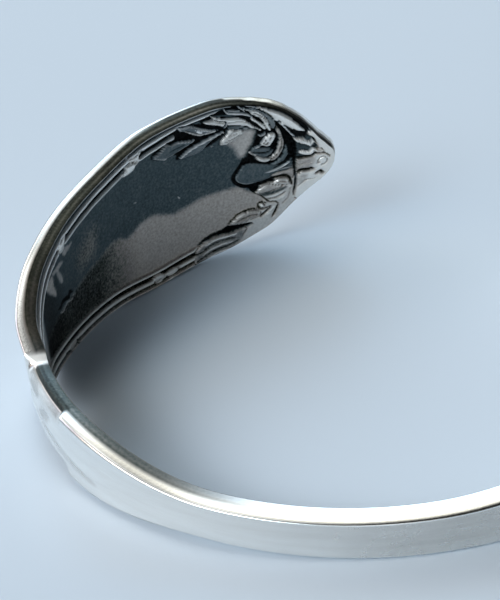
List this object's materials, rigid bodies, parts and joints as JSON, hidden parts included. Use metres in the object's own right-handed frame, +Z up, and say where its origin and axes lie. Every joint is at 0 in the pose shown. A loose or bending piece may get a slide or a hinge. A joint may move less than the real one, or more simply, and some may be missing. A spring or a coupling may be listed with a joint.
{
  "type": "spoon handle cuff bracelet",
  "caption": "Open cuff bracelet bent from a spoon handle: a wide leaf-shaped panel with raised ornament and a reeded edge narrows at a shoulder to a slim plain stem that wraps round.",
  "frame": {"origin": "on the floor below the middle of the cuff as it lies on its side", "axes": "+Z up from the floor, +X towards the far side of the stem, -Y the front where the slim stem runs across"},
  "size_m": [0.0628, 0.0574, 0.019],
  "materials": {
    "silver": "worn silver, bright on the rim and the raised parts, satin and grey with tarnish in the hollows"
  },
  "bodies": {
    "root": {"handle_cuff": "silver"}
  },
  "joints": []
}
